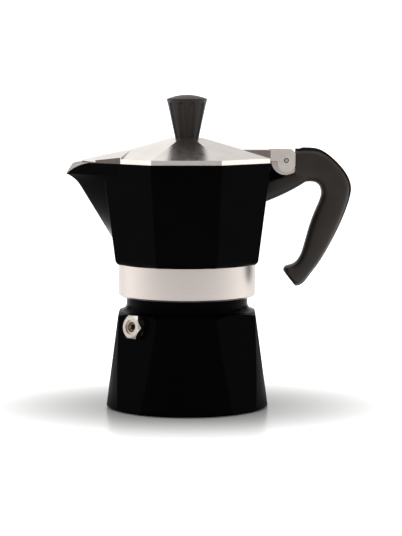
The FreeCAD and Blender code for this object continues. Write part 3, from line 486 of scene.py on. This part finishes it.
@dataclass
class SafetyValve(SubAssembly):
    """Plug with its washer, bush, plunger and a spring that shortens as the plunger lifts."""

    merge_mm: float = 0.002
    wire_smooth_deg: float = 40.0

    def build(self) -> None:
        """Copies the wound spring as a piece of its own, its wire merged and smooth shaded."""
        coil = bpy.data.objects.new("valve_coil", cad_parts["valve_spring"].data.copy())
        bpy.context.scene.collection.objects.link(coil)
        bpy.ops.object.select_all(action="DESELECT")
        coil.select_set(True)
        bpy.context.view_layer.objects.active = coil
        bpy.ops.object.mode_set(mode="EDIT")
        bpy.ops.mesh.select_all(action="SELECT")
        bpy.ops.mesh.remove_doubles(threshold=self.merge_mm * MM)
        bpy.ops.object.mode_set(mode="OBJECT")
        bpy.ops.object.shade_smooth_by_angle(angle=math.radians(self.wire_smooth_deg))
        coil.data.materials.clear()
        coil.data.materials.append(BRIGHT_STEEL.material())
        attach(coil, "boiler")
        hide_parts("valve_spring")
        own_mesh(coil)
        log.info("%s: valve_coil copied from valve_spring", type(self).__name__)

    def finishes(self) -> dict[str, Finish]:
        """Names the finish of each CAD piece."""
        return {"valve_body": PLATED_BRASS, "valve_washer": DULL_BRASS, "valve_bush": DULL_BRASS,
                "valve_stem": DULL_BRASS, "valve_seal": SEAL_RUBBER, "valve_spring": BRIGHT_STEEL}


@dataclass
class CoffeeBasket(SubAssembly):
    """Cup, perforated disc and funnel tube."""

    def finishes(self) -> dict[str, Finish]:
        """Names the finish of each CAD piece."""
        return {"basket_cup": SHEET_ALUMINIUM, "basket_sieve": SHEET_ALUMINIUM, "basket_tube": SHEET_ALUMINIUM}


@dataclass
class Seal(SubAssembly):
    """Ring gasket and the filter plate that it holds."""

    def finishes(self) -> dict[str, Finish]:
        """Names the finish of each CAD piece."""
        return {"gasket": SEAL_RUBBER, "filter_plate": SHEET_ALUMINIUM}


@dataclass
class PinnedUnit(SubAssembly):
    """A unit held by a cross pin whose ends are chamfered and dimpled."""

    pin_facets: int = 48
    pin_chamfer_mm: float = 0.3
    chamfer_segments: int = 3
    dimple_mm: float = 0.15
    # Flat rim left round the dimple, as a share of the pin's radius.
    dimple_rim: float = 1 / 3
    # An end face's normal lies along Y at least this much.
    end_limit: float = 0.9
    pin_smooth_deg: float = 30.0

    def pin(self, name: str, cad_piece: str, body: str) -> None:
        """Models a cross pin in the place of its plain CAD solid.

        Args:
            name: the new piece's name.
            cad_piece: the CAD node that it stands for.
            body: the body that it rides on.
        """
        low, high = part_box(cad_piece)
        radius = (high.x - low.x) / 2
        bpy.ops.object.select_all(action="DESELECT")
        bpy.ops.mesh.primitive_cylinder_add(vertices=self.pin_facets, radius=radius, depth=high.y - low.y,
                                            location=(low + high) / 2, rotation=(math.pi / 2, 0, 0))
        made = bpy.context.object
        made.name = name
        bpy.ops.object.transform_apply(location=True, rotation=True, scale=True)
        ends = [face.index for face in made.data.polygons if abs(face.normal.y) > self.end_limit]
        bpy.ops.object.mode_set(mode="EDIT")
        bpy.ops.mesh.select_mode(type="FACE")
        bpy.ops.mesh.select_all(action="DESELECT")
        bpy.ops.object.mode_set(mode="OBJECT")
        for index in ends:
            made.data.polygons[index].select = True
        bpy.ops.object.mode_set(mode="EDIT")
        bpy.ops.mesh.bevel(offset=self.pin_chamfer_mm * MM, segments=self.chamfer_segments, affect="EDGES")
        bpy.ops.mesh.inset(thickness=radius * self.dimple_rim, depth=-self.dimple_mm * MM, use_individual=True)
        bpy.ops.object.mode_set(mode="OBJECT")
        bpy.ops.object.shade_smooth_by_angle(angle=math.radians(self.pin_smooth_deg))
        made.data.materials.append(BRIGHT_STEEL.material())
        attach(made, body)
        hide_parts(cad_piece)
        log.info("%s: %s modelled for %s", type(self).__name__, name, cad_piece)


@dataclass
class Collector(PinnedUnit):
    """Enamelled collector with its bare turned band, bare lip and bare hinge lug."""

    band_height_mm: float = 16.5
    lip_slope_limit: float = 0.4
    hinge_bare_mm: float = 7.6

    def build(self) -> None:
        """Models the hinge pin."""
        self.pin("hinge_rivet", "hinge_pin", "upper")

    def finishes(self) -> dict[str, Finish]:
        """Names the finish of each CAD piece.

        Returns:
            Finishes by node.
        """
        pin_low, pin_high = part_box("hinge_pin")
        middle = (pin_low + pin_high) / 2
        low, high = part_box("collector")
        # Glossy black above, and below it a turned band that draws the room out into upright stripes.
        enamel = EnamelledCasting("black enamel on cast collector", low=low.z + self.band_height_mm * MM,
                                  high=high.z + MM, level_limit=self.lip_slope_limit,
                                  hinge=(middle.x, middle.z), hinge_bare=self.hinge_bare_mm * MM)
        return {"collector": enamel, "riser_column": CAST_ALUMINIUM, "hinge_pin": BRIGHT_STEEL}


@dataclass
class Handle(PinnedUnit):
    """Moulded handle and the drive pin that holds it."""

    def build(self) -> None:
        """Models the drive pin."""
        self.pin("handle_drive_pin", "handle_pin", "upper")

    def finishes(self) -> dict[str, Finish]:
        """Names the finish of each CAD piece."""
        return {"handle": PHENOLIC, "handle_pin": BRIGHT_STEEL}


@dataclass
class Lid(SubAssembly):
    """Cast lid with its beak, boss and hinge ears."""

    beak_end_mm: float = 33.0
    flange_start_mm: float = 27.0
    flange_end_mm: float = 42.4

    def finishes(self) -> dict[str, Finish]:
        """Names the finish of each CAD piece.

        Returns:
            Finishes by node.
        """
        half_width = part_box("hinge_pin")[1].y
        as_cast = CAST_ALUMINIUM
        # As the other castings, but with a painted dark reflection in grey on the beak's skirts and the hinge
        # flange.
        casting = LidCasting("satin die-cast aluminium lid", as_cast.light, as_cast.dark, as_cast.roughness,
                             as_cast.lay, beak_end=-self.beak_end_mm * MM,
                             flange_start=self.flange_start_mm * MM, flange_end=self.flange_end_mm * MM,
                             flange_half_width=half_width)
        return {"lid": casting}


@dataclass
class Knob(SubAssembly):
    """Fluted knob with its insert, screw and washer."""

    def finishes(self) -> dict[str, Finish]:
        """Names the finish of each CAD piece."""
        return {"knob": PHENOLIC, "knob_insert": DULL_BRASS, "knob_screw": BRIGHT_STEEL,
                "knob_washer": BRIGHT_STEEL}


@dataclass(frozen=True)
class SoftBox:
    """A square soft box that faces the pot."""

    name: str
    size: float
    place: tuple[float, float, float]
    watts: float
    aim: tuple[float, float, float] = (0.0, 0.0, 0.08)

    def hang(self) -> None:
        """Hangs the box in its place."""
        lamp = bpy.data.lights.new(self.name, "AREA")
        lamp.shape = "RECTANGLE"
        lamp.size = self.size
        lamp.size_y = self.size
        lamp.energy = self.watts
        holder = bpy.data.objects.new(self.name, lamp)
        holder.location = self.place
        holder.rotation_euler = (Vector(self.aim) - Vector(self.place)).to_track_quat("-Z", "Y").to_euler()
        bpy.context.scene.collection.objects.link(holder)


@dataclass
class Studio:
    """Pale floor, soft light and the camera of the photograph."""

    image_width: int = 402
    image_height: int = 536
    axis_column: float = 187.0
    focal_pixels: float = 2058.0
    distance: float = 1.05
    eye_height: float = 0.174
    pitch_deg: float = 5.6
    sensor_mm: float = 24.0
    floor_size: float = 40.0
    boxes: tuple[SoftBox, ...] = (
        SoftBox("top_box", 1.6, (0.0, 0.1, 1.5), 9.0), SoftBox("back_left_box", 0.8, (-0.4, 1.6, 1.1), 0.6))
    # How far round from the front, as minus the cosine of the bearing, and how bright the wall is there.
    wall: tuple[tuple[float, float], ...] = (
        (-1.0, 0.76), (-0.5, 0.76), (0.0, 1.2), (0.4, 1.9), (0.68, 0.5), (0.86, 0.05), (0.93, 1.05))
    ceiling: float = 0.8
    # The wall passes into the ceiling between these sines of the height above the horizon.
    ceiling_from: float = 0.15
    ceiling_to: float = 0.45

    def floor(self) -> None:
        """Lays the floor."""
        bpy.ops.object.select_all(action="DESELECT")
        bpy.ops.mesh.primitive_plane_add(size=self.floor_size, location=(0, 0, 0))
        plane = bpy.context.object
        plane.name = "floor"
        plane.data.materials.append(GLOWING_FLOOR.material())

    def walls(self) -> None:
        """Lights the room's walls: grey in front, bright at the sides and white behind the pot."""
        world = bpy.data.worlds.new("studio")
        bpy.context.scene.world = world
        world.use_nodes = True
        tree = world.node_tree
        way = add(tree, "ShaderNodeTexCoord").outputs["Generated"]
        level = add(tree, "ShaderNodeVectorMath", {0: way, 1: (1.0, 1.0, 0.0)}, operation="MULTIPLY").outputs[0]
        level = add(tree, "ShaderNodeVectorMath", {0: level}, operation="NORMALIZE").outputs[0]
        bearing = add(tree, "ShaderNodeSeparateXYZ", {0: level}).outputs["Y"]
        round_about = {"Value": bearing, "From Min": -1.0, "From Max": 1.0}
        along = add(tree, "ShaderNodeMapRange", round_about).outputs[0]
        ramp = add(tree, "ShaderNodeValToRGB", {0: along})
        stops = ramp.color_ramp.elements
        # A new stop starts half way and gets its own place below.
        while len(stops) < len(self.wall):
            stops.new(0.5)
        for stop, (where, value) in zip(stops, self.wall):
            stop.position = (where + 1) / 2
            stop.color = (value, value, value, 1.0)
        height = add(tree, "ShaderNodeSeparateXYZ", {0: way}).outputs["Z"]
        rising = {"Value": height, "From Min": self.ceiling_from, "From Max": self.ceiling_to}
        up = add(tree, "ShaderNodeMapRange", rising).outputs[0]
        colours = {SHARE: up, FIRST: ramp.outputs[0], SECOND: (self.ceiling, self.ceiling, self.ceiling, 1.0)}
        colour = add(tree, "ShaderNodeMix", colours, data_type="RGBA").outputs[MIXED]
        tree.links.new(colour, tree.nodes["Background"].inputs["Color"])

    def camera(self) -> None:
        """Places the camera where the photograph was taken."""
        lens = bpy.data.cameras.new("camera")
        lens.sensor_fit = "VERTICAL"
        lens.sensor_height = self.sensor_mm
        lens.lens = self.focal_pixels * self.sensor_mm / self.image_height
        holder = bpy.data.objects.new("camera", lens)
        aside = (self.image_width / 2 - self.axis_column) * self.distance / self.focal_pixels
        holder.location = (aside, -self.distance, self.eye_height)
        holder.rotation_euler = (math.radians(90 - self.pitch_deg), 0, 0)
        bpy.context.scene.collection.objects.link(holder)
        bpy.context.scene.camera = holder

    def build(self) -> None:
        """Makes floor, light and camera."""
        self.floor()
        self.walls()
        for box in self.boxes:
            box.hang()
        self.camera()
        bpy.context.scene.view_settings.view_transform = "Standard"


def main() -> None:
    """Builds and dresses each sub-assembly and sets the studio."""
    logging.basicConfig(level=logging.INFO, format="%(name)s %(message)s")
    for unit in (Boiler(), SafetyValve(), CoffeeBasket(), Seal(), Collector(), Handle(), Lid(), Knob()):
        unit.build()
        unit.dress()
    Studio().build()


if __name__ == "__main__":
    main()
